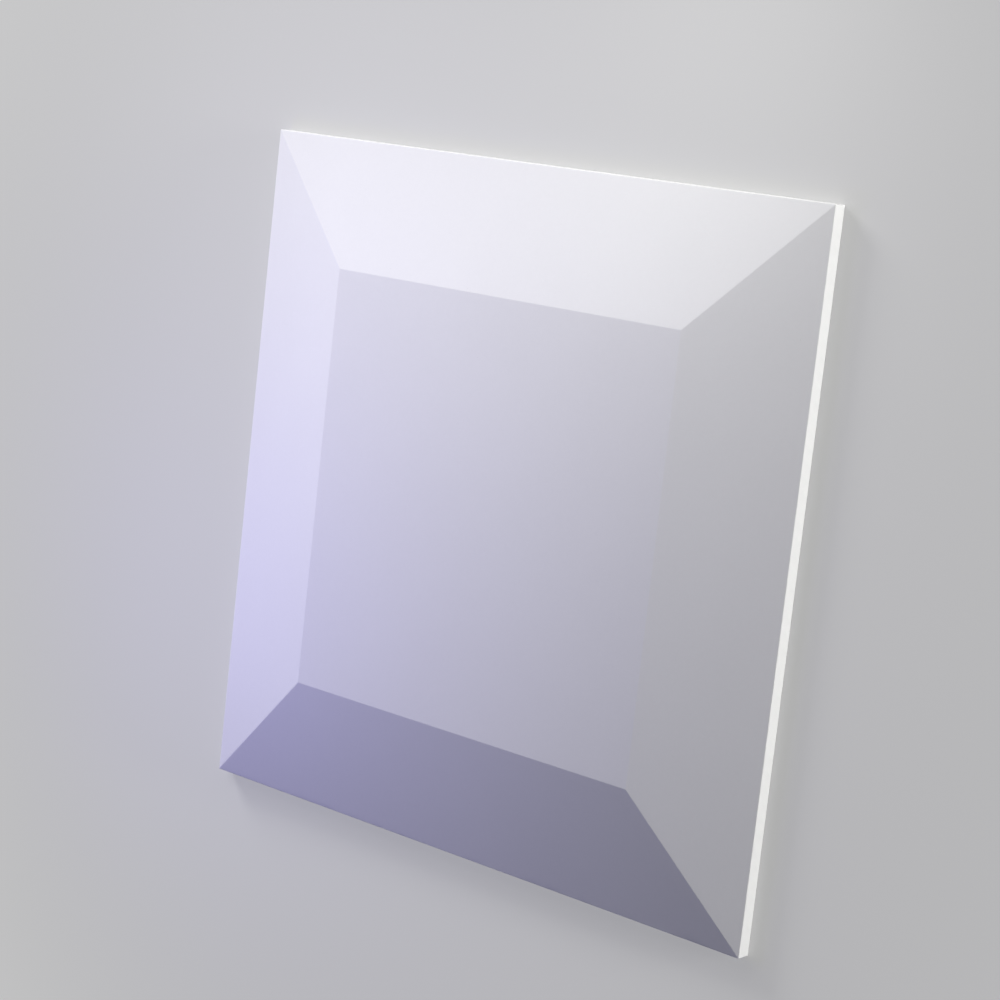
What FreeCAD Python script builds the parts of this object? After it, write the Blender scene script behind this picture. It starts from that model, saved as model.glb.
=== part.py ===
"""Square cast plaster wall tile with a raised, flat centre field.

The tile is one casting. Thin straight edges carry wide bevels that climb to the
field and meet in mitred hips at the corners. The back is the flat face that is
struck off level with the mould, and the tile is bonded to a wall by it.

The origin is the middle of the back. +Z is the way the face looks, and +Y is
towards the edge that is shown uppermost. All sizes are in millimetres.
"""

import FreeCAD, Part
import os
from enum import IntEnum

import Sketcher

# Driving sizes: name, value and what it measures.
DRIVING_SIZES = (
    ("tile_side", 500.0, "side of the square back and of the straight edges"),
    ("edge_thickness", 10.5, "height of the straight edges that neighbours butt against"),
    ("relief_rise", 19.5, "climb of the bevels from the edges to the field"),
    ("bevel_run", 94.0, "width of a bevel, seen square on"),
    ("corner_radius", 0.8, "rounding of the upright corners"),
    ("hip_radius", 4.0, "rounding of the hips, where two bevels meet"),
    ("field_arris_radius", 4.0, "rounding where a bevel meets the field"),
    ("edge_arris_radius", 0.6, "rounding where a bevel meets its straight edge"),
)

PART_FOLDER = "parts"
LEVEL_TOLERANCE = 1e-4


class Side(IntEnum):
    """The tile's sides, in the order in which the outline is drawn."""

    LOWER = 0
    RIGHT = 1
    UPPER = 2
    LEFT = 3


class At(IntEnum):
    """How a constraint names a point of a line or an arc."""

    START = 1
    END = 2
    CENTRE = 3


# The sketch's own origin, as a constraint names it: a line and the point at its start.
SKETCH_ORIGIN = (-1, At.START)


def add_sizes(doc):
    """Writes the driving sizes into a sheet, one aliased cell to a row."""
    sheet = doc.addObject("Spreadsheet::Sheet", "sizes")
    for row, (alias, value, meaning) in enumerate(DRIVING_SIZES, start=1):
        sheet.set(f"A{row}", alias)
        sheet.set(f"B{row}", str(value))
        sheet.setAlias(f"B{row}", alias)
        sheet.set(f"C{row}", meaning)
    doc.recompute()
    return sheet


def origin_feature(body, role):
    """The plane or axis of the body's own origin that has this role."""
    for feature in body.Origin.OriginFeatures:
        if feature.Role == role:
            return feature
    raise LookupError(f"{body.Label} has no origin feature with the role {role}")


def add_sketch(body, name, plane_role):
    """Adds an empty sketch on one of the body's origin planes."""
    sketch = body.newObject("Sketcher::SketchObject", name)
    sketch.AttachmentSupport = [(origin_feature(body, plane_role), "")]
    sketch.MapMode = "FlatFace"
    return sketch


def drive(sketch, label, constraint, size):
    """Adds a named dimension to the sketch and binds it to an expression on the sheet."""
    number = sketch.addConstraint(constraint)
    sketch.renameConstraint(number, label)
    sketch.setExpression(f"Constraints.{label}", size)


def draw_outline(body, sheet):
    """Sketches the tile's plan: a square about the origin with rounded corners."""
    sketch = add_sketch(body, "tile_outline", "XY_Plane")
    half = float(sheet.tile_side) / 2
    radius = float(sheet.corner_radius)
    inner = half - radius
    corners = ((inner, -inner), (inner, inner), (-inner, inner), (-inner, -inner))
    sides = (
        ((-inner, -half), (inner, -half)),
        ((half, -inner), (half, inner)),
        ((inner, half), (-inner, half)),
        ((-half, inner), (-half, -inner)),
    )
    for start, end in sides:
        sketch.addGeometry(Part.LineSegment(FreeCAD.Vector(*start, 0), FreeCAD.Vector(*end, 0)))
    for turn, centre in enumerate(corners):
        circle = Part.Circle(FreeCAD.Vector(*centre, 0), FreeCAD.Vector(0, 0, 1), radius)
        begin, finish = (
            FreeCAD.Units.Quantity(f"{90 * quarter} deg").getValueAs("rad").Value
            for quarter in (turn - 1, turn)
        )
        sketch.addGeometry(Part.ArcOfCircle(circle, begin, finish))

    first_corner = len(Side)
    for side in Side:
        corner = first_corner + side
        next_side = (side + 1) % len(Side)
        sketch.addConstraint(Sketcher.Constraint("Tangent", side, At.END, corner, At.START))
        sketch.addConstraint(Sketcher.Constraint("Tangent", corner, At.END, next_side, At.START))
        sketch.addConstraint(Sketcher.Constraint("Vertical" if side % 2 else "Horizontal", side))
    for corner in range(first_corner + 1, first_corner + len(Side)):
        sketch.addConstraint(Sketcher.Constraint("Equal", first_corner, corner))
    opposite = first_corner + len(Side) // 2
    sketch.addConstraint(
        Sketcher.Constraint("Symmetric", first_corner, At.CENTRE, opposite, At.CENTRE, *SKETCH_ORIGIN)
    )
    across = (Side.LEFT, At.START, Side.RIGHT, At.START)
    upwards = (Side.LOWER, At.START, Side.UPPER, At.START)
    width = Sketcher.Constraint("DistanceX", *across, 2 * half)
    depth = Sketcher.Constraint("DistanceY", *upwards, 2 * half)
    drive(sketch, "width", width, "sizes.tile_side")
    drive(sketch, "depth", depth, "sizes.tile_side")
    drive(sketch, "corner", Sketcher.Constraint("Radius", first_corner, radius), "sizes.corner_radius")
    return sketch


def add_block(body, sheet):
    """Pads the plan to the height of the field."""
    block = body.newObject("PartDesign::Pad", "block")
    block.Profile = draw_outline(body, sheet)
    block.setExpression("Length", "sizes.edge_thickness + sizes.relief_rise")
    return block


def draw_waste(body, sheet):
    """Sketches what the bevel over the -Y edge takes off, in section across that edge.

    The long side of the triangle is the bevel. The others lie on the block's
    side and on the level of the field.
    """
    sketch = add_sketch(body, "bevel_waste", "YZ_Plane")
    half = float(sheet.tile_side) / 2
    height, rise, run = float(sheet.edge_thickness), float(sheet.relief_rise), float(sheet.bevel_run)
    foot = FreeCAD.Vector(-half, height, 0)
    crown = FreeCAD.Vector(run - half, height + rise, 0)
    corner = FreeCAD.Vector(-half, height + rise, 0)
    bevel, level, wall = range(3)
    for start, end in ((foot, crown), (crown, corner), (corner, foot)):
        sketch.addGeometry(Part.LineSegment(start, end))
    for line, following in ((bevel, level), (level, wall), (wall, bevel)):
        sketch.addConstraint(Sketcher.Constraint("Coincident", line, At.END, following, At.START))
    sketch.addConstraint(Sketcher.Constraint("Horizontal", level))
    sketch.addConstraint(Sketcher.Constraint("Vertical", wall))
    foot_out = Sketcher.Constraint("DistanceX", bevel, At.START, *SKETCH_ORIGIN, half)
    foot_up = Sketcher.Constraint("DistanceY", *SKETCH_ORIGIN, bevel, At.START, height)
    bevel_run = Sketcher.Constraint("DistanceX", bevel, At.START, bevel, At.END, run)
    bevel_rise = Sketcher.Constraint("DistanceY", bevel, At.START, bevel, At.END, rise)
    drive(sketch, "foot_out", foot_out, "sizes.tile_side / 2")
    drive(sketch, "foot_up", foot_up, "sizes.edge_thickness")
    drive(sketch, "run", bevel_run, "sizes.bevel_run")
    drive(sketch, "rise", bevel_rise, "sizes.relief_rise")
    return sketch


def add_bevels(doc, body, sheet):
    """Cuts one bevel the full width of the tile and repeats it round the middle.

    Where two of the cuts cross, they leave a mitred hip.
    """
    bevel = body.newObject("PartDesign::Pocket", "bevel")
    bevel.Profile = draw_waste(body, sheet)
    bevel.Type = "Length"
    bevel.Midplane = True
    bevel.setExpression("Length", "sizes.tile_side")
    doc.recompute()
    bevels = body.newObject("PartDesign::PolarPattern", "bevels")
    bevels.Originals = [bevel]
    bevels.Axis = (origin_feature(body, "Z_Axis"), [""])
    bevels.Angle = 360
    bevels.Occurrences = len(Side)
    body.Tip = bevels
    return bevels


def edges_where(shape, chosen):
    """Names of the shape's edges whose box passes the test."""
    return [
        f"Edge{number}"
        for number, edge in enumerate(shape.Edges, start=1)
        if chosen(edge.BoundBox)
    ]


def add_rounding(doc, body, name, chosen, radius):
    """Rounds the edges that pass the test with a radius from the sheet."""
    doc.recompute()
    base = body.Tip
    rounding = body.newObject("PartDesign::Fillet", name)
    rounding.Base = (base, edges_where(base.Shape, chosen))
    rounding.setExpression("Radius", radius)
    return rounding


def add_tile(doc, sheet):
    """Builds the tile's body, feature by feature."""
    body = doc.addObject("PartDesign::Body", "wall_panel_tile")
    body.Label = "wall_panel_tile"
    add_block(body, sheet)
    add_bevels(doc, body, sheet)

    foot = float(sheet.edge_thickness)
    field = foot + float(sheet.relief_rise)
    half_way = (foot + field) / 2

    def climbs_to_field(box):
        return box.ZMin < half_way and box.ZMax > field - LEVEL_TOLERANCE

    def bounds_field(box):
        return box.ZMin > field - LEVEL_TOLERANCE

    def bounds_edges(box):
        return box.ZMin > foot - LEVEL_TOLERANCE and box.ZMax < half_way

    add_rounding(doc, body, "hips", climbs_to_field, "sizes.hip_radius")
    add_rounding(doc, body, "field_arris", bounds_field, "sizes.field_arris_radius")
    add_rounding(doc, body, "edge_arris", bounds_edges, "sizes.edge_arris_radius")
    doc.recompute()
    return body


def check(doc, bodies):
    """Stops on any object that failed to build, and on any body without a valid solid."""
    failed = [
        item.Label for item in doc.Objects if "Invalid" in item.State or "Error" in item.State
    ]
    if failed:
        raise RuntimeError(f"these objects failed: {failed}")
    for body in bodies:
        if body.Shape.isNull() or not body.Shape.isValid() or not body.Shape.Solids:
            raise RuntimeError(f"{body.Label} has no valid solid")


def export(bodies):
    """Writes each body to its own file."""
    os.makedirs(PART_FOLDER, exist_ok=True)
    for body in bodies:
        body.Shape.exportStep(os.path.join(PART_FOLDER, f"{body.Label}.step"))
        box = body.Shape.BoundBox
        print(
            f"{body.Label}: {box.XLength:.2f} x {box.YLength:.2f} x {box.ZLength:.2f} mm, "
            f"{body.Shape.Volume / 1e6:.4f} litres, {len(body.Shape.Faces)} faces"
        )


def main():
    doc = FreeCAD.newDocument("wall_panel_tile")
    sheet = add_sizes(doc)
    bodies = [add_tile(doc, sheet)]
    check(doc, bodies)
    export(bodies)


main()
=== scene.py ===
"""The looks of a square cast plaster wall tile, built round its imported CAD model.

The tile is one casting: a flat raised field, four wide bevels that meet in mitred
hips, thin straight edges and a back that is struck off level with the mould. Its
mesh is a section carried round a rounded square, closed by a grid over the field
and another over the back. It lies on its back, and the camera looks down on it
from the side that the photograph shows.

Lengths are in metres. The origin is the middle of the back, +Z is the way the face
looks, and +Y is towards the edge that is uppermost in the picture.
"""

import logging
import math
from dataclasses import dataclass
from enum import Enum

import bpy
import numpy as np
from mathutils import Matrix, Vector

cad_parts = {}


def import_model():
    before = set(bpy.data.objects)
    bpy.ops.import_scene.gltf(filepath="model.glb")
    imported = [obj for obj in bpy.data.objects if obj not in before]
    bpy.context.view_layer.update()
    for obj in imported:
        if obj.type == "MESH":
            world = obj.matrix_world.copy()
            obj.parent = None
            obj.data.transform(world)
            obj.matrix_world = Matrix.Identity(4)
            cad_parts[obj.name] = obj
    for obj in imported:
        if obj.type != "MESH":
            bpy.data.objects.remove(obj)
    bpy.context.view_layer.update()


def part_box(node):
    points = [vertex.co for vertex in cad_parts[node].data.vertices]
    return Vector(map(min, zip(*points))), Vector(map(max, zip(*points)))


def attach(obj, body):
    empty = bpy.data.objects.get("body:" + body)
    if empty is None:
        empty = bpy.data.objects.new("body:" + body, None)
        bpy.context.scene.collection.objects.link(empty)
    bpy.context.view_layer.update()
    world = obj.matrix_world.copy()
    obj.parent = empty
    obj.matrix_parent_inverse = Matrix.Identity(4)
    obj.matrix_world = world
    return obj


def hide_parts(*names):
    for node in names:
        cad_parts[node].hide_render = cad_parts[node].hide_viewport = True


MM = 0.001
TILE_NODE = "wall_panel_tile"
BODY = "root"
PLASTER_SLOT = "cast_plaster"

log = logging.getLogger("plaster_tile")

# Short names for the types that the methods pass to each other.
Array = np.ndarray
Socket = bpy.types.NodeSocket
Inputs = dict[str, object]
Colour = tuple[float, float, float, float]


class CastFace(Enum):
    """The faces of the casting, by what shaped them."""

    FRONT = "cast against the mould's floor"
    EDGE = "cast against the mould's walls"
    BACK = "struck off level with the mould's rim"


def smooth_noise(x: Array, y: Array, cell: tuple[float, float], seed: int) -> Array:
    """Smooth noise over a plane, from 0 to 1.

    Random heights stand on a lattice of the given cell. Between them the height is
    the blend of the four round it, weighted by 3t^2 - 2t^3 of the way across.

    Args:
        x: Places along X.
        y: Places along Y, of the same shape.
        cell: Lattice spacing along X and along Y.
        seed: Which lattice of heights to draw.

    Returns:
        One height for each place.
    """
    columns, rows = x / cell[0], y / cell[1]
    left, low = np.floor(columns).astype(int), np.floor(rows).astype(int)
    across, up = columns - left, rows - low
    across = across * across * (3.0 - 2.0 * across)
    up = up * up * (3.0 - 2.0 * up)
    left, low = left - left.min(), low - low.min()
    heights = np.random.default_rng(seed).random((left.max() + 2, low.max() + 2))
    lower = heights[left, low] * (1.0 - across) + heights[left + 1, low] * across
    upper = heights[left, low + 1] * (1.0 - across) + heights[left + 1, low + 1] * across
    return lower * (1.0 - up) + upper * up


def stations(length: float, spacing: float, hold: float) -> Array:
    """Places between the ends of a flat run.

    Even steps fill the run, and one more place stands a little way in from each end,
    so that the rounding beside the run doesn't shade the flat.

    Args:
        length: Length of the run.
        spacing: Widest step.
        hold: How far in from each end the extra place stands.

    Returns:
        Distances along the run, without its two ends.
    """
    steps = max(1, math.ceil((length - 2.0 * hold) / spacing))
    return np.linspace(hold, length - hold, steps + 1)


@dataclass(frozen=True)
class Turn:
    """A corner of the tile's section, rounded to an arc.

    Attributes:
        inset: Distance in from the straight edge, in plan.
        height: Height above the back.
        radius: Radius of the rounding, 0 at an end of the section.
        onward: The face that follows the corner.
    """

    inset: float
    height: float
    radius: float
    onward: CastFace


@dataclass(frozen=True)
class Section:
    """A section from the rim of the field, over the edge, to the rim of the back.

    Attributes:
        turns: Its corners in order. The first and the last are its open ends.
        spacing: Widest step along a flat.
        hold: Distance from an arris to the first place on the flat beside it.
        arc_steps: Steps round each arris.
    """

    turns: tuple[Turn, ...]
    spacing: float
    hold: float
    arc_steps: int

    def rows(self) -> tuple[Array, Array, Array, Array]:
        """Works out where the section's rows of points lie.

        At a corner that turns by an angle a, the arc leaves the flat r * tan(a / 2)
        before the corner. Its point at angle t is r * sin(t) along the flat and
        r * (1 - cos(t)) off it, towards the next flat. Its sharpness is sin(a), so a
        square arris has 1 and a shallow one little.

        Returns:
            The points as (inset, height), how sharp an arris each point is on, how
            level the surface is there, from 0 to 1, and the index of its face among
            the members of CastFace.
        """
        faces = list(CastFace)
        corners = np.array([(turn.inset, turn.height) for turn in self.turns])
        legs = np.diff(corners, axis=0)
        lengths = np.linalg.norm(legs, axis=1)
        ways = legs / lengths[:, None]
        points, arris, level, face = [corners[:1]], [np.zeros(1)], [np.ones(1)], [np.zeros(1, int)]
        start = 0.0
        for leg, (length, way) in enumerate(zip(lengths, ways)):
            last = leg == len(legs) - 1
            radius = self.turns[leg + 1].radius
            angle = 0.0 if last else math.acos(float(way @ ways[leg + 1]))
            tangent = radius * math.tan(angle / 2.0)
            here = faces.index(self.turns[leg].onward)
            flat = start + stations(length - start - tangent, self.spacing, self.hold)
            points.append(corners[leg] + flat[:, None] * way)
            arris.append(np.zeros(len(flat)))
            level.append(np.full(len(flat), abs(way[0])))
            face.append(np.full(len(flat), here))
            if last:
                points.append(corners[-1:])
                arris.append(np.zeros(1))
                level.append(np.abs(way[:1]))
                face.append(np.array([here]))
                break
            side = ways[leg + 1] - (way @ ways[leg + 1]) * way
            side /= np.linalg.norm(side)
            turned = np.linspace(0.0, angle, self.arc_steps + 1)[:, None]
            foot = corners[leg + 1] - tangent * way
            points.append(foot + radius * (np.sin(turned) * way + (1.0 - np.cos(turned)) * side))
            arris.append(np.full(len(turned), math.sin(angle)))
            level.append(np.abs(np.cos(turned) * way + np.sin(turned) * side)[:, 0])
            following = faces.index(self.turns[leg + 1].onward)
            face.append(np.where(turned[:, 0] < angle / 2.0, here, following))
            start = tangent
        return tuple(np.concatenate(pieces) for pieces in (points, arris, level, face))


@dataclass(frozen=True)
class SquareContour:
    """A square path with rounded corners, walked anticlockwise from above.

    A place on it is a place on the square through the corners' centres, plus the
    corner radius times the way outward. So one path serves squares of every size.

    Attributes:
        side_stations: Places along a side as shares of its length, ends included.
        corner_steps: Steps round each corner.
    """

    side_stations: Array
    corner_steps: int

    def places(self) -> tuple[Array, Array, Array]:
        """Works out the path.

        The first side runs along -Y and ends in a quarter turn. The other three are
        that quarter turned by 90, 180 and 270 degrees.

        Returns:
            Places on a square of half side 1, the ways outward, and how much of a
            corner each place is.
        """
        along = 2.0 * self.side_stations - 1.0
        turned = np.linspace(-0.5 * math.pi, 0.0, self.corner_steps + 1)[1:-1]
        square = np.concatenate(
            [
                np.stack([along, np.full_like(along, -1.0)], axis=1),
                np.stack([np.ones_like(turned), -np.ones_like(turned)], axis=1),
            ]
        )
        outward = np.concatenate(
            [
                np.stack([np.zeros_like(along), np.full_like(along, -1.0)], axis=1),
                np.stack([np.cos(turned), np.sin(turned)], axis=1),
            ]
        )
        corner = np.concatenate([np.zeros_like(along), np.ones_like(turned)])
        corner[[0, len(along) - 1]] = 1.0
        quarter = np.array([[0, 1], [-1, 0]])
        quarters = np.array([np.linalg.matrix_power(quarter, turns) for turns in range(4)])
        return (
            np.concatenate(square @ quarters),
            np.concatenate(outward @ quarters),
            np.tile(corner, len(quarters)),
        )

    def grid_rim(self) -> Array:
        """Finds, for each place of the path, the point of a square grid that lies beside it.

        The grid has a point for each pair of side stations, numbered along X first.
        All places round a corner share the grid's corner point.

        Returns:
            Indices into the grid's points.
        """
        count = len(self.side_stations)
        first = np.arange(count)
        last = count - 1
        sides = (first, last + first * count, last * count + first[::-1], first[::-1] * count)
        spare = self.corner_steps - 1
        return np.concatenate([np.concatenate([side, np.repeat(side[-1:], spare)]) for side in sides])


def band(lower: Array, upper: Array) -> tuple[Array, Array]:
    """Joins two closed rings of points with faces that look outward.

    Each pair of neighbours in one ring makes a four-sided face with its pair in the
    other. Where a pair is one and the same point, the face is a triangle.

    Args:
        lower: Indices of the ring that is lower on the outside, or inner on the back.
        upper: Indices of the other ring, of the same length.

    Returns:
        The four-sided faces and the triangles.
    """
    faces = np.stack([lower, np.roll(lower, -1), np.roll(upper, -1), upper], axis=1)
    thin_low, thin_high = faces[:, 0] == faces[:, 1], faces[:, 2] == faces[:, 3]
    triangles = np.concatenate([faces[thin_low][:, [0, 2, 3]], faces[thin_high][:, [0, 1, 2]]])
    return faces[~(thin_low | thin_high)], triangles


@dataclass(frozen=True)
class Relief:
    """The unevenness that casting and striking off leave, always cut inward.

    Attributes:
        wave_depth: Depth of the hollows in the cast faces.
        wave_size: Distance between those hollows.
        wear_depth: How far a square arris is rubbed down at most.
        wear_size: Length of a rubbed stretch.
        drag_depth: Depth of the marks that the striking bar drags over the back.
        drag_size: Length and width of a drag mark.
        trough_depth: Depth of the broad troughs under the drag marks.
        trough_size: Length and width of a trough.
    """

    wave_depth: float = 0.02 * MM
    wave_size: float = 70 * MM
    wear_depth: float = 0.07 * MM
    wear_size: float = 9 * MM
    drag_depth: float = 0.16 * MM
    drag_size: tuple[float, float] = (120 * MM, 9 * MM)
    trough_depth: float = 0.22 * MM
    trough_size: tuple[float, float] = (260 * MM, 38 * MM)

    def depth(self, points: Array, arris: Array, back: Array, clear: Array) -> Array:
        """Works out how far each point is cut in along its normal.

        Args:
            points: Places of the points.
            arris: How sharp an arris each point is on.
            back: How much of the struck back each point is.
            clear: How clear of the back's rim each point is. The rim has no drag marks.

        Returns:
            Depths, all 0 or more.
        """
        x, y = points[:, 0], points[:, 1]
        wave = self.wave_depth * smooth_noise(x, y, (self.wave_size, self.wave_size), seed=3)
        wear = self.wear_depth * smooth_noise(x, y, (self.wear_size, self.wear_size), seed=5) ** 2
        drag = self.drag_depth * smooth_noise(x, y, self.drag_size, seed=7)
        trough = self.trough_depth * smooth_noise(x, y, self.trough_size, seed=11)
        flat = (1.0 - back) * wave + back * clear * (drag + trough)
        return arris * wear + (1.0 - arris) * flat


@dataclass(frozen=True)
class SoftNoise:
    """Soft noise in the plaster, and what it does over its full swing.

    Attributes:
        size: Size of its patches.
        detail: How many finer layers are added to it.
        tone: Change of the brightness, as a share.
        roughness: Change of the roughness.
        height: Change of the surface's height.
    """

    size: float
    detail: float
    tone: float
    roughness: float = 0.0
    height: float = 0.0


@dataclass(frozen=True)
class AirHoles:
    """Air holes, one at most in each cell of a scattered pattern.

    Attributes:
        spacing: Width of a cell.
        radius: Radius of a hole.
        share: Share of the cells that have one.
        tone: How much darker a hole is painted, as a share: painted shade inside the hole.
        depth: Depth of a hole.
        floor: Radius of its flat floor, as a share of the hole's.
    """

    spacing: float
    radius: float
    share: float
    tone: float
    depth: float
    floor: float = 0.4


class Signal:
    """A number that varies over a surface: a socket that takes part in expressions."""

    def __init__(self, bench: "Bench", socket: Socket) -> None:
        """Wraps an output socket of a bench's nodes."""
        self.bench = bench
        self.socket = socket

    def _with(self, operation: str, first: object, second: object) -> "Signal":
        """Adds the Math node that joins two values."""
        sockets = {"Value": first, "Value_001": second}
        node = self.bench.node("ShaderNodeMath", {"operation": operation}, sockets)
        return Signal(self.bench, node.outputs["Value"])

    def __add__(self, other: object) -> "Signal":
        """self + other."""
        return self._with("ADD", self, other)

    def __radd__(self, other: object) -> "Signal":
        """other + self."""
        return self._with("ADD", other, self)

    def __sub__(self, other: object) -> "Signal":
        """self - other."""
        return self._with("SUBTRACT", self, other)

    def __rsub__(self, other: object) -> "Signal":
        """other - self."""
        return self._with("SUBTRACT", other, self)

    def __mul__(self, other: object) -> "Signal":
        """self * other."""
        return self._with("MULTIPLY", self, other)

    def __rmul__(self, other: object) -> "Signal":
        """other * self."""
        return self._with("MULTIPLY", other, self)

    def __gt__(self, other: object) -> "Signal":
        """1 where self is greater than other, otherwise 0."""
        return self._with("GREATER_THAN", self, other)

    def rise(self, low: float, high: float) -> "Signal":
        """A smooth step: 0 up to low, 1 from high on."""
        node = self.bench.node(
            "ShaderNodeMapRange",
            {"interpolation_type": "SMOOTHSTEP"},
            {"Value": self, "From Min": low, "From Max": high},
        )
        return Signal(self.bench, node.outputs["Result"])


class Bench:
    """The node tree of one material or world, with one way to add a node."""

    def __init__(self, tree: bpy.types.NodeTree) -> None:
        """Clears the tree and starts on it."""
        tree.nodes.clear()
        self.tree = tree

    def node(self, kind: str, settings: Inputs, sockets: Inputs) -> bpy.types.Node:
        """Adds a node.

        Args:
            kind: Blender's name for the type of node.
            settings: The node's own properties, which are set first.
            sockets: Values or links for its inputs, by identifier or by name.

        Returns:
            The node.
        """
        node = self.tree.nodes.new(kind)
        for name, value in settings.items():
            setattr(node, name, value)
        by_key = {socket.name: socket for socket in reversed(node.inputs)}
        by_key.update({socket.identifier: socket for socket in node.inputs})
        for key, value in sockets.items():
            if isinstance(value, Signal):
                value = value.socket
            if isinstance(value, Socket):
                self.tree.links.new(value, by_key[key])
            else:
                by_key[key].default_value = value
        return node

    def signal(self, kind: str, settings: Inputs, sockets: Inputs, output: str) -> Signal:
        """Adds a node and wraps one of its outputs."""
        return Signal(self, self.node(kind, settings, sockets).outputs[output])

    def place(self) -> Socket:
        """The place on the object, in its own coordinates."""
        return self.node("ShaderNodeTexCoord", {}, {}).outputs["Object"]

    def attribute(self, name: str) -> Signal:
        """A number that the mesh carries at its points."""
        return self.signal("ShaderNodeAttribute", {"attribute_name": name}, {}, "Fac")

    def swing(self, place: Socket, noise: SoftNoise) -> Signal:
        """Soft noise, from -0.5 to 0.5."""
        sockets = {"Vector": place, "Scale": 1.0 / noise.size, "Detail": noise.detail}
        return self.signal("ShaderNodeTexNoise", {}, sockets, "Fac") - 0.5

    def stretched(self, place: Socket, scale: tuple[float, float, float]) -> Socket:
        """A place whose coordinates are multiplied by the scale."""
        return self.node("ShaderNodeMapping", {}, {"Vector": place, "Scale": scale}).outputs["Vector"]

    def pits(self, place: Socket, holes: AirHoles) -> Signal:
        """Round holes, 1 on their flat floor and falling to 0 at their rim.

        Args:
            place: The place on the object.
            holes: How large the holes are and how close they lie.

        Returns:
            How much of a hole each place is.
        """
        sockets = {"Vector": place, "Scale": 1.0 / holes.spacing}
        cells = self.node("ShaderNodeTexVoronoi", {}, sockets)
        drawn = self.signal("ShaderNodeSeparateColor", {}, {"Color": cells.outputs["Color"]}, "Red")
        rim = holes.radius / holes.spacing
        outside = Signal(self, cells.outputs["Distance"]).rise(holes.floor * rim, rim)
        return (1.0 - outside) * (drawn > 1.0 - holes.share)

    def blend(self, share: Signal, first: object, second: object) -> Socket:
        """A colour between two, by a share from 0 to 1."""
        sockets = {"Factor_Float": share, "A_Color": first, "B_Color": second}
        mixed = self.node("ShaderNodeMix", {"data_type": "RGBA"}, sockets)
        return next(socket for socket in mixed.outputs if socket.identifier == "Result_Color")

    def toned(self, colour: Socket, tone: Signal) -> Socket:
        """A colour times a tone."""
        sockets = {"Vector": colour, "Scale": tone}
        return self.node("ShaderNodeVectorMath", {"operation": "SCALE"}, sockets).outputs["Vector"]


def grey(level: float, warmth: float = 0.0) -> Colour:
    """A grey as linear RGBA. Warmth raises red and lowers blue by that share."""
    return (level * (1.0 + warmth), level, level * (1.0 - warmth), 1.0)


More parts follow.
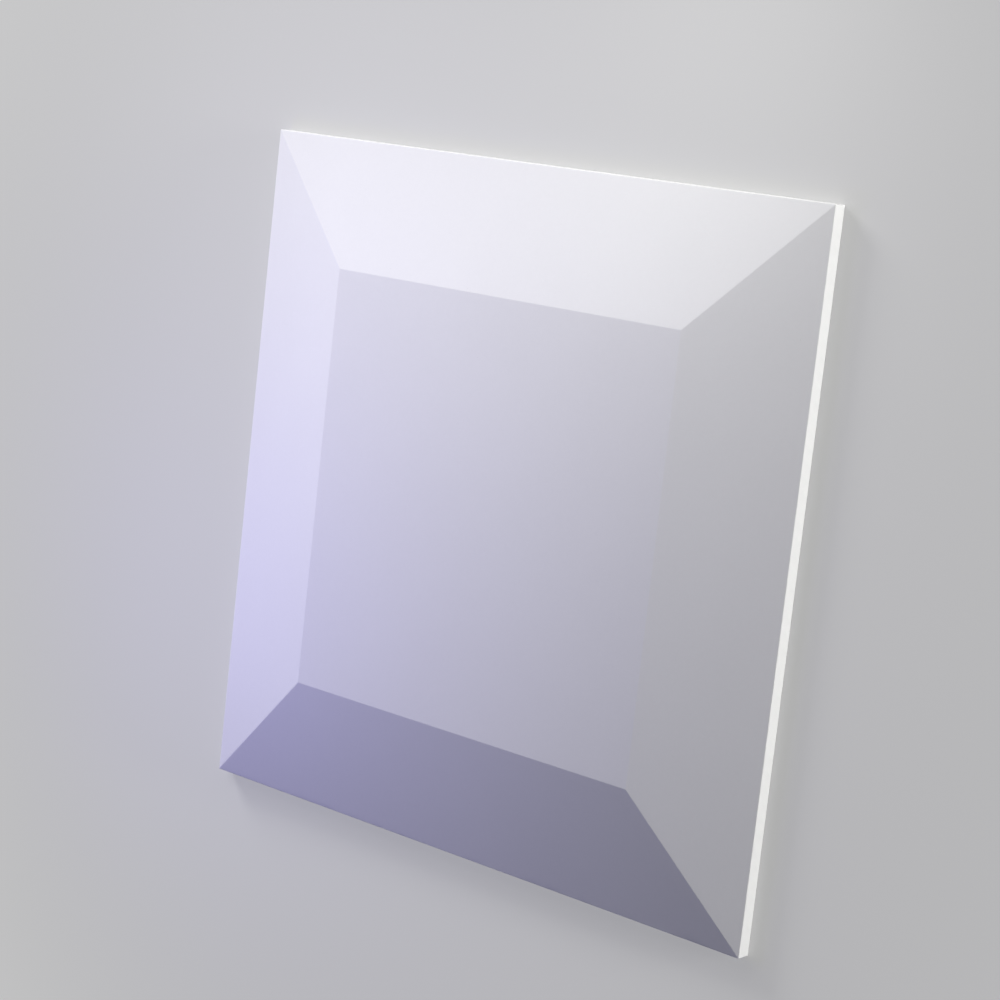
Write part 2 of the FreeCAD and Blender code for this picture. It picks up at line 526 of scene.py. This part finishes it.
@dataclass(frozen=True)
class PlasterFinish:
    """Matt white plaster: fine and even where it was cast, dragged where it was struck off.

    Attributes:
        level: Brightness of the cast faces.
        roughness: Roughness of the cast faces.
        sheen: Strength of their reflection.
        rubbed_tone: How much paler a rubbed arris is, as a share.
        rubbed_roughness: How much less rough it is.
        back_level: Brightness of the struck back, which is never sealed.
        back_warmth: Warmth of its grey.
        back_roughness: How much rougher it is.
        back_clouds: How much further the clouds change its brightness, as a share.
        clouds: The broad, faint patches that drying leaves.
        tooth: The soft unevenness that the mould's face leaves.
        grain: The plaster's own grain.
        drag: The fine lines that the striking bar drags along the back.
        drag_stretch: How many times longer than wide such a line is.
        holes: Air holes in the cast faces, darkened with painted shade.
        back_holes: Air holes in the back, darkened with painted shade.
    """

    level: float = 0.84
    roughness: float = 0.82
    sheen: float = 0.2
    rubbed_tone: float = 0.02
    rubbed_roughness: float = 0.06
    back_level: float = 0.79
    back_warmth: float = 0.012
    back_roughness: float = 0.10
    back_clouds: float = 0.10
    clouds: SoftNoise = SoftNoise(60 * MM, 3.0, tone=0.030)
    tooth: SoftNoise = SoftNoise(3.5 * MM, 2.0, tone=0.020, roughness=0.05, height=0.006 * MM)
    grain: SoftNoise = SoftNoise(0.9 * MM, 2.0, tone=0.030, roughness=0.05, height=0.008 * MM)
    drag: SoftNoise = SoftNoise(90 * MM, 4.0, tone=0.10, height=0.12 * MM)
    drag_stretch: float = 45.0
    holes: AirHoles = AirHoles(15 * MM, 0.3 * MM, 0.2, tone=0.25, depth=0.2 * MM)
    back_holes: AirHoles = AirHoles(7 * MM, 0.7 * MM, 0.5, tone=0.35, depth=0.5 * MM)

    def material(self, name: str) -> bpy.types.Material:
        """Builds the material.

        The mesh says where its arrises and its struck back are. Over the cast faces
        the colour drifts by a percent or so, with a fine grain and rare pinholes. An
        arris is a touch paler and smoother where it is rubbed. The back is greyer and
        rougher, with drag lines along X and more and larger holes. Every hole is painted
        darker, as painted shade inside it, besides its bump.

        Args:
            name: The material's name.

        Returns:
            The material.
        """
        made = bpy.data.materials.new(name)
        made.use_nodes = True
        bench = Bench(made.node_tree)
        place = bench.place()
        back, arris = bench.attribute("back"), bench.attribute("arris")
        cloud, tooth = bench.swing(place, self.clouds), bench.swing(place, self.tooth)
        grain = bench.swing(place, self.grain)
        lines = back * bench.swing(bench.stretched(place, (1.0, self.drag_stretch, 1.0)), self.drag)
        holes, back_holes = bench.pits(place, self.holes), back * bench.pits(place, self.back_holes)

        clouds = self.clouds.tone * cloud + self.back_clouds * back * cloud
        tone = 1.0 + clouds + self.tooth.tone * tooth + self.grain.tone * grain
        tone = tone + self.rubbed_tone * arris + self.drag.tone * lines
        # Painted shade: each air hole is darkened as if shaded inside, on top of its bump.
        tone = tone - self.holes.tone * holes - self.back_holes.tone * back_holes
        bare = bench.blend(back, grey(self.level), grey(self.back_level, self.back_warmth))
        rough = self.roughness + self.tooth.roughness * tooth + self.grain.roughness * grain
        rough = rough - self.rubbed_roughness * arris + self.back_roughness * back
        height = self.tooth.height * tooth + self.grain.height * grain + self.drag.height * lines
        height = height - self.holes.depth * holes - self.back_holes.depth * back_holes
        dent = bench.node("ShaderNodeBump", {}, {"Strength": 1.0, "Distance": 1.0, "Height": height})
        plaster = bench.node(
            "ShaderNodeBsdfPrincipled",
            {},
            {
                "Base Color": bench.toned(bare, tone),
                "Roughness": rough,
                "Normal": dent.outputs["Normal"],
                "Specular IOR Level": self.sheen,
            },
        )
        bench.node("ShaderNodeOutputMaterial", {}, {"Surface": plaster.outputs["BSDF"]})
        return made


@dataclass
class CastTile:
    """The tile: one plaster casting.

    Attributes:
        side: Side of the square.
        thickness: Height of the field above the back.
        edge_height: Height of the straight edges.
        bevel_run: Width of a bevel in plan.
        corner_radius: Rounding of the upright corners.
        hip_radius: Rounding of the hips, in plan.
        field_arris: Rounding between a bevel and the field.
        edge_arris: Rounding between a bevel and its straight edge.
        back_arris: Rounding between a straight edge and the back.
        rim: Width of the ring round the field and round the back, outside the grids.
        spacing: Widest step of the mesh.
        hold: Distance from an arris to the first row on the flat beside it.
        round_steps: Steps round an arris or a corner.
        relief: The unevenness of the faces.
        finish: The plaster.
    """

    side: float
    thickness: float
    edge_height: float = 10.5 * MM
    bevel_run: float = 94 * MM
    corner_radius: float = 0.8 * MM
    hip_radius: float = 0.45 * MM
    field_arris: float = 4 * MM
    edge_arris: float = 0.6 * MM
    back_arris: float = 0.3 * MM
    rim: float = 4 * MM
    spacing: float = 3.6 * MM
    hold: float = 0.5 * MM
    round_steps: int = 8
    relief: Relief = Relief()
    finish: PlasterFinish = PlasterFinish()

    @classmethod
    def on_frame(cls, node: str) -> "CastTile":
        """Sizes the tile to the CAD node that it stands for."""
        low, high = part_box(node)
        return cls(side=high.x - low.x, thickness=high.z - low.z)

    def section(self) -> Section:
        """The section, from the field's rim out over the bevel and the edge to the back."""
        return Section(
            turns=(
                Turn(self.bevel_run + self.rim, self.thickness, 0.0, CastFace.FRONT),
                Turn(self.bevel_run, self.thickness, self.field_arris, CastFace.FRONT),
                Turn(0.0, self.edge_height, self.edge_arris, CastFace.EDGE),
                Turn(0.0, 0.0, self.back_arris, CastFace.BACK),
                Turn(self.rim, 0.0, 0.0, CastFace.BACK),
            ),
            spacing=self.spacing,
            hold=self.hold,
            arc_steps=self.round_steps,
        )

    def contour(self) -> SquareContour:
        """The path that the section is carried round."""
        inner = stations(self.side, self.spacing, self.hold) / self.side
        return SquareContour(np.concatenate([[0.0], inner, [1.0]]), self.round_steps)

    def surface(self) -> tuple[Array, Array, Array, list[list[int]]]:
        """Works out the closed surface.

        The point of section row i at contour place j is the row's half side, less its
        rounding, times the place on the unit square, plus the rounding times the way
        outward, at the row's height. The rounding is the corner radius where a row is
        upright and passes to the hip radius as the row levels out. A grid through the
        same side stations closes the field, and another the back.

        Where two faces meet that are both level by a share c, the cosine of the angle
        between them is c * c. So their hip or corner is sharp by the square root of
        1 - c^4.

        Returns:
            The points, how sharp an arris each is on, how much of the back it is, and
            the faces.
        """
        rows, row_arris, level, row_face = self.section().rows()
        contour = self.contour()
        square, outward, corner = contour.places()
        rounding = (self.corner_radius + (self.hip_radius - self.corner_radius) * level)[:, None, None]
        reach = (0.5 * self.side - rows[:, 0])[:, None, None] - rounding
        plan = reach * square + rounding * outward
        height = np.broadcast_to(rows[:, 1][:, None, None], plan.shape[:2] + (1,))
        walls = np.concatenate([plan, height], axis=2)

        struck = list(CastFace).index(CastFace.BACK)
        hips = np.sqrt(np.clip(1.0 - level**4, 0.0, 1.0))
        arris = np.maximum(row_arris[:, None], hips[:, None] * corner[None, :])
        back = np.broadcast_to((row_face == struck)[:, None], arris.shape).astype(float)

        along = 2.0 * contour.side_stations - 1.0
        grid_y, grid_x = np.meshgrid(along, along, indexing="ij")
        flat = np.stack([grid_x, grid_y, np.ones_like(grid_x)], axis=2)
        field = flat * (reach[0, 0, 0], reach[0, 0, 0], self.thickness)
        base = flat * (reach[-1, 0, 0], reach[-1, 0, 0], 0.0)

        points = np.concatenate([part.reshape(-1, 3) for part in (walls, field, base)])
        arris = np.concatenate([arris.ravel(), np.zeros(2 * flat[..., 0].size)])
        back = np.concatenate([back.ravel(), np.zeros(flat[..., 0].size), np.ones(flat[..., 0].size)])
        return points, arris, back, self._faces(walls.shape[:2], contour)

    def _faces(self, shape: tuple[int, int], contour: SquareContour) -> list[list[int]]:
        """Lists the faces of the walls and of the two grids, and the bands that join them.

        Args:
            shape: Number of section rows and of contour places.
            contour: The path, which says how the grids' rims follow it.

        Returns:
            The faces, each as the indices of its points.
        """
        rings = np.arange(shape[0] * shape[1]).reshape(shape)
        count = len(contour.side_stations)
        field_start = rings.size
        base_start = field_start + count * count
        rim = contour.grid_rim()
        joins = [band(lower, upper) for lower, upper in zip(rings[1:], rings[:-1])]
        joins.append(band(rings[0], field_start + rim))
        joins.append(band(base_start + rim, rings[-1]))
        grid = np.arange(count * count).reshape(count, count)
        around = (grid[:-1, :-1], grid[:-1, 1:], grid[1:, 1:], grid[1:, :-1])
        quads = np.stack(around, axis=2).reshape(-1, 4)
        fours = [four for four, _ in joins] + [field_start + quads, base_start + quads[:, ::-1]]
        return np.concatenate(fours).tolist() + np.concatenate([three for _, three in joins]).tolist()

    def build(self, name: str) -> bpy.types.Object:
        """Makes the tile's mesh, cuts its relief and dresses it.

        Args:
            name: Name of the piece.

        Returns:
            The finished object, at the origin.
        """
        points, arris, back, faces = self.surface()
        mesh = bpy.data.meshes.new(name)
        mesh.from_pydata(points.tolist(), [], faces)
        mesh.shade_smooth()
        self.carve(mesh, points, arris, back)
        for label, values in (("arris", arris), ("back", back)):
            layer = mesh.attributes.new(label, "FLOAT", "POINT")
            layer.data.foreach_set("value", values)
        mesh.materials.append(self.finish.material(PLASTER_SLOT))
        tile = bpy.data.objects.new(name, mesh)
        bpy.context.scene.collection.objects.link(tile)
        return tile

    def carve(self, mesh: bpy.types.Mesh, points: Array, arris: Array, back: Array) -> None:
        """Cuts the relief into the mesh. The rim of the back, which the tile rests on, stays whole.

        Args:
            mesh: The smooth mesh.
            points: Its points.
            arris: How sharp an arris each point is on.
            back: How much of the struck back each point is.
        """
        normals = np.empty(points.size)
        mesh.vertex_normals.foreach_get("vector", normals)
        depth = self.relief.depth(points, arris, back, self.clear_of_rim(points))
        carved = points - normals.reshape(points.shape) * depth[:, None]
        mesh.vertices.foreach_set("co", carved.ravel())
        mesh.update()

    def clear_of_rim(self, points: Array) -> Array:
        """0 on the rim that the tile rests on, rising to 1 over three rims' width inward."""
        inset = 0.5 * self.side - np.abs(points[:, :2]).max(axis=1)
        return np.clip((inset - 0.5 * self.rim) / (3.0 * self.rim), 0.0, 1.0)


@dataclass(frozen=True)
class StudioFloor:
    """A plain pale floor that fades into the backdrop far from the tile.

    Attributes:
        radius: Radius of the floor.
        level: Brightness of the floor to the light that it sends back to the tile.
        shown_level: Brightness of the floor to a camera.
        lift: How much of the backdrop a camera sees mixed into the floor round the tile.
        clear: Radius inside which it stays so.
        faded: Radius from which it is only backdrop.
        gap: How far it lies below the tile's back, so that the two never share a plane.
        roughness: Its roughness.
        sheen: Strength of its reflection.
        middle: Radius of its innermost ring.
        rings: Number of its rings.
        spokes: Number of points in a ring.
    """

    radius: float = 30.0
    level: float = 0.5
    shown_level: float = 0.64
    lift: float = 0.5
    clear: float = 0.3
    faded: float = 1.3
    gap: float = 0.1 * MM
    roughness: float = 0.9
    sheen: float = 0.2
    middle: float = 0.05
    rings: int = 24
    spokes: int = 64

    def build(self, backdrop: Colour) -> bpy.types.Object:
        """Makes the floor, a disc whose rings widen outward by the same share.

        Args:
            backdrop: The colour that it fades to.

        Returns:
            The floor's object.
        """
        reach = np.geomspace(self.middle, self.radius, self.rings)[:, None]
        angle = np.linspace(0.0, 2.0 * math.pi, self.spokes, endpoint=False)[None, :]
        height = np.full((self.rings, self.spokes), -self.gap)
        disc = np.stack([reach * np.cos(angle), reach * np.sin(angle), height], axis=2)
        points = np.concatenate([disc.reshape(-1, 3), [[0.0, 0.0, -self.gap]]])
        rings = np.arange(height.size).reshape(height.shape)
        centre = np.full(self.spokes, height.size)
        joins = [band(outer, inner) for inner, outer in zip(rings[:-1], rings[1:])]
        joins.append(band(rings[0], centre))
        faces = [face for four, three in joins for face in four.tolist() + three.tolist()]
        mesh = bpy.data.meshes.new("studio_floor")
        mesh.from_pydata(points.tolist(), [], faces)
        mesh.materials.append(self.material(backdrop))
        floor = bpy.data.objects.new("studio_floor", mesh)
        bpy.context.scene.collection.objects.link(floor)
        return floor

    def material(self, backdrop: Colour) -> bpy.types.Material:
        """Builds the floor's material: matt near the tile, plain backdrop far out.

        Args:
            backdrop: The colour that it fades to, as a camera sees it.

        Returns:
            The material.
        """
        made = bpy.data.materials.new("studio_floor")
        made.use_nodes = True
        bench = Bench(made.node_tree)
        sockets = {"Vector": bench.place()}
        far = bench.signal("ShaderNodeVectorMath", {"operation": "LENGTH"}, sockets, "Value")
        seen = bench.signal("ShaderNodeLightPath", {}, {}, "Is Camera Ray")
        matt = bench.node(
            "ShaderNodeBsdfPrincipled",
            {},
            {
                "Base Color": bench.blend(seen, grey(self.level), grey(self.shown_level)),
                "Roughness": self.roughness,
                "Specular IOR Level": self.sheen,
            },
        )
        plain = bench.node("ShaderNodeEmission", {}, {"Color": backdrop, "Strength": 1.0})
        sockets = {
            "Fac": seen * (self.lift + (1.0 - self.lift) * far.rise(self.clear, self.faded)),
            "Shader": matt.outputs["BSDF"],
            "Shader_001": plain.outputs["Emission"],
        }
        mixed = bench.node("ShaderNodeMixShader", {}, sockets)
        bench.node("ShaderNodeOutputMaterial", {}, {"Surface": mixed.outputs["Shader"]})
        return made


@dataclass(frozen=True)
class SoftBox:
    """A soft rectangular lamp that faces the tile.

    Attributes:
        name: What it does.
        azimuth: Degrees from +X towards +Y.
        elevation: Degrees above the floor.
        distance: Distance from the tile's middle.
        width: Width of its face.
        height: Height of its face.
        power: Power in watts.
        colour: Colour of its light.
    """

    name: str
    azimuth: float
    elevation: float
    distance: float
    width: float
    height: float
    power: float
    colour: tuple[float, float, float]

    def build(self) -> bpy.types.Object:
        """Hangs the lamp in its place, aimed at the tile's middle and unseen by the camera."""
        turn, climb = math.radians(self.azimuth), math.radians(self.elevation)
        level = math.cos(climb)
        way = Vector((level * math.cos(turn), level * math.sin(turn), math.sin(climb)))
        light = bpy.data.lights.new(self.name, "AREA")
        light.shape = "RECTANGLE"
        light.size = self.width
        light.size_y = self.height
        light.energy = self.power
        light.color = self.colour
        lamp = bpy.data.objects.new(self.name, light)
        lamp.location = way * self.distance
        lamp.rotation_euler = way.to_track_quat("Z", "Y").to_euler()
        lamp.visible_camera = False
        bpy.context.scene.collection.objects.link(lamp)
        return lamp


@dataclass(frozen=True)
class Camera:
    """The camera, placed so that the tile shows as it does in the photograph.

    Its numbers were found outside this script, by a fit to the tile's edge lines there.

    Attributes:
        place: Where it stands.
        aim: The point that its axis passes through.
        lean: How far it is turned about its axis, in degrees, from holding +Y upright.
        lens: Focal length in millimetres, on a sensor 36 mm wide.
        shift: How far the frame is shifted up, as a share of its width.
    """

    place: tuple[float, float, float] = (1.13595, 0.30001, 1.38753)
    aim: tuple[float, float, float] = (0.00415, 0.03352, 0.015)
    lean: float = 6.35
    lens: float = 91.99
    shift: float = -0.02857

    def build(self) -> bpy.types.Object:
        """Makes the camera and gives it to the scene."""
        data = bpy.data.cameras.new("photo_view")
        data.lens = self.lens
        data.shift_y = self.shift
        back = (Vector(self.place) - Vector(self.aim)).normalized()
        side = Vector((0.0, 1.0, 0.0)).cross(back).normalized()
        upright = Matrix((side, back.cross(side), back)).transposed()
        turned = Matrix.Rotation(math.radians(self.lean), 3, back) @ upright
        camera = bpy.data.objects.new("photo_view", data)
        camera.matrix_world = Matrix.Translation(self.place) @ turned.to_4x4()
        bpy.context.scene.collection.objects.link(camera)
        bpy.context.scene.camera = camera
        return camera


@dataclass(frozen=True)
class Studio:
    """Floor, lamps, backdrop and camera.

    The numbers of the lamps were found outside this script, by a search for the
    tones that the tile's faces have in the photograph. The lavender of the faces is
    the tint of these lamps. The plaster itself is a plain white.

    Attributes:
        backdrop: The pale backdrop, as a camera sees it.
        lamps: The soft lamps.
        floor: The floor.
        camera: The camera.
    """

    backdrop: Colour = grey(0.68)
    lamps: tuple[SoftBox, ...] = (
        SoftBox(
            name="upper_left_key",
            azimuth=137.0,
            elevation=14.5,
            distance=3.36,
            width=1.25,
            height=0.84,
            power=109.5,
            colour=(1.0, 1.0, 0.985),
        ),
        SoftBox(
            name="upper_bevel_light",
            azimuth=128.2,
            elevation=51.1,
            distance=0.59,
            width=0.19,
            height=0.29,
            power=1.02,
            colour=(0.905, 0.885, 1.0),
        ),
        SoftBox(
            name="left_bevel_light",
            azimuth=201.3,
            elevation=45.9,
            distance=0.53,
            width=0.24,
            height=0.31,
            power=0.77,
            colour=(0.40, 0.366, 1.0),
        ),
        SoftBox(
            name="right_edge_light",
            azimuth=10.5,
            elevation=4.5,
            distance=2.78,
            width=0.86,
            height=0.28,
            power=59.6,
            colour=(1.0, 1.0, 0.98),
        ),
        SoftBox(
            name="upper_right_light",
            azimuth=67.5,
            elevation=31.4,
            distance=0.50,
            width=0.15,
            height=0.29,
            power=0.36,
            colour=(1.0, 1.0, 0.95),
        ),
        SoftBox(
            name="lower_edge_fill",
            azimuth=-90.0,
            elevation=4.0,
            distance=2.4,
            width=1.0,
            height=0.26,
            power=7.5,
            colour=(0.70, 0.73, 1.0),
        ),
    )
    floor: StudioFloor = StudioFloor()
    camera: Camera = Camera()

    def build(self) -> None:
        """Sets up everything round the tile."""
        bpy.context.scene.view_settings.view_transform = "Standard"
        self.floor.build(self.backdrop)
        for lamp in self.lamps:
            lamp.build()
        self.hang_backdrop()
        self.camera.build()

    def hang_backdrop(self) -> None:
        """Shows the backdrop to the camera all round. It sends no light to the tile."""
        world = bpy.data.worlds.new("studio")
        world.use_nodes = True
        bench = Bench(world.node_tree)
        seen = bench.signal("ShaderNodeLightPath", {}, {}, "Is Camera Ray")
        backdrop = bench.node("ShaderNodeBackground", {}, {"Color": self.backdrop, "Strength": seen})
        bench.node("ShaderNodeOutputWorld", {}, {"Surface": backdrop.outputs["Background"]})
        bpy.context.scene.world = world


def main() -> None:
    """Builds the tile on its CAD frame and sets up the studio."""
    logging.basicConfig(level=logging.INFO, format="%(name)s: %(message)s")
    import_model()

    tile = CastTile.on_frame(TILE_NODE).build("cast_tile")
    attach(tile, BODY)
    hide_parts(TILE_NODE)
    triangles = sum(len(face.vertices) - 2 for face in tile.data.polygons)
    log.info("%s: %d points, %d triangles", tile.name, len(tile.data.vertices), triangles)

    studio = Studio()
    studio.build()
    log.info("studio: %d lamps", len(studio.lamps))


if __name__ == "__main__":
    main()
